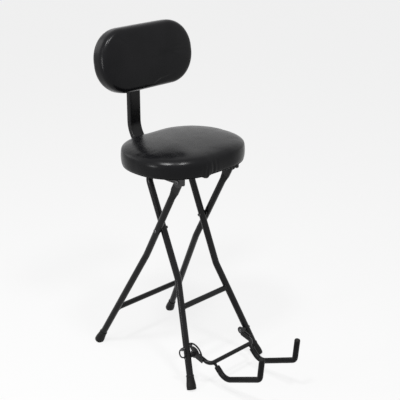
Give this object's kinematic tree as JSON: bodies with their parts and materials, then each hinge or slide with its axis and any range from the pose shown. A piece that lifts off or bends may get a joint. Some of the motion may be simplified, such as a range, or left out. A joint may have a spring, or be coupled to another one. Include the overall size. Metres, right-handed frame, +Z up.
{
  "type": "guitar stool",
  "caption": "Folding stool with a round padded seat, padded backrest on a bent post, crossed tube legs and a fold-out padded cradle that holds a guitar in front of it.",
  "frame": {"origin": "on the floor, under the middle of the whole stool's box", "axes": "+Z up, the sitter faces -Y, +X is on the sitter's left"},
  "size_m": [0.351, 0.6117, 0.9452],
  "materials": {
    "black_tube": "gloss black enamel",
    "black_bracket": "satin black enamel",
    "black_fastener": "blackened steel",
    "zinc_screw": "zinc plated",
    "spring_steel": "drawn wire",
    "black_ring": "gloss black",
    "black_vinyl": "smooth black leatherette",
    "plywood": "black-stained plywood",
    "black_rubber": "matte moulded rubber",
    "black_plastic": "moulded nylon",
    "black_foam": "closed-cell foam sleeve"
  },
  "bodies": {
    "outer_frame": {"outer_leg_left": "black_tube", "outer_leg_right": "black_tube", "rear_brace": "black_tube", "rear_foot_left": "black_rubber", "rear_foot_right": "black_rubber", "pivot_bolts": "black_fastener", "pivot_spacers": "black_plastic", "pivot_nuts": "black_fastener"},
    "inner_frame": {"inner_leg_left": "black_tube", "inner_leg_right": "black_tube", "inner_top_bar": "black_tube", "front_brace": "black_tube", "front_foot_left": "black_rubber", "front_foot_right": "black_rubber", "cradle_rivets": "black_fastener", "cradle_spacers": "black_plastic", "lock_spring": "spring_steel"},
    "seat": {"seat_cushion": "black_vinyl", "seat_board": "plywood", "seat_rail_left": "black_bracket", "seat_rail_right": "black_bracket", "rail_screws": "zinc_screw", "hinge_bolts": "zinc_screw", "hinge_washers": "black_plastic", "hinge_nuts": "zinc_screw", "seat_catch_left": "black_plastic", "seat_catch_right": "black_plastic", "catch_screws": "zinc_screw", "backrest_post": "black_tube", "post_packing": "black_rubber", "post_bolts": "black_fastener", "post_caps": "black_plastic", "backrest_cushion": "black_vinyl", "backrest_board": "plywood", "backrest_bracket": "black_bracket", "bracket_screws": "zinc_screw", "bracket_bolts": "black_fastener", "bracket_nuts": "black_fastener"},
    "cradle": {"cradle_yoke": "black_tube", "cradle_quadrant": "black_bracket", "cradle_lug": "black_bracket", "cradle_arm_left": "black_tube", "cradle_arm_right": "black_tube", "cradle_sleeve_left": "black_foam", "cradle_sleeve_right": "black_foam", "cradle_tip_left": "black_rubber", "cradle_tip_right": "black_rubber"},
    "lock_pin": {"lock_pin": "black_fastener", "lock_pin_ring": "black_ring"}
  },
  "joints": [
    {"name": "leg_fold", "type": "hinge", "parent": "outer_frame", "child": "inner_frame", "pos_m": [0, 0.0715, 0.412], "axis": [1, 0, 0], "range_deg": [0, 46]},
    {"name": "seat_flip", "type": "hinge", "parent": "outer_frame", "child": "seat", "pos_m": [0, -0.01568, 0.576], "axis": [1, 0, 0], "range_deg": [0, 118]},
    {"name": "cradle_fold", "type": "hinge", "parent": "inner_frame", "child": "cradle", "pos_m": [0, -0.06827, 0.082], "axis": [-1, 0, 0], "range_deg": [0, 92]},
    {"name": "lock_pull", "type": "slide", "parent": "inner_frame", "child": "lock_pin", "axis": [-1, 0, 0], "range_m": [0, 0.005], "stiffness_N_per_m": 400, "springref_m": -0.005, "deforming": ["lock_spring"]}
  ],
  "couplings": [
    {"joint": "seat_flip", "follows": "leg_fold", "ratio": 2.565}
  ]
}
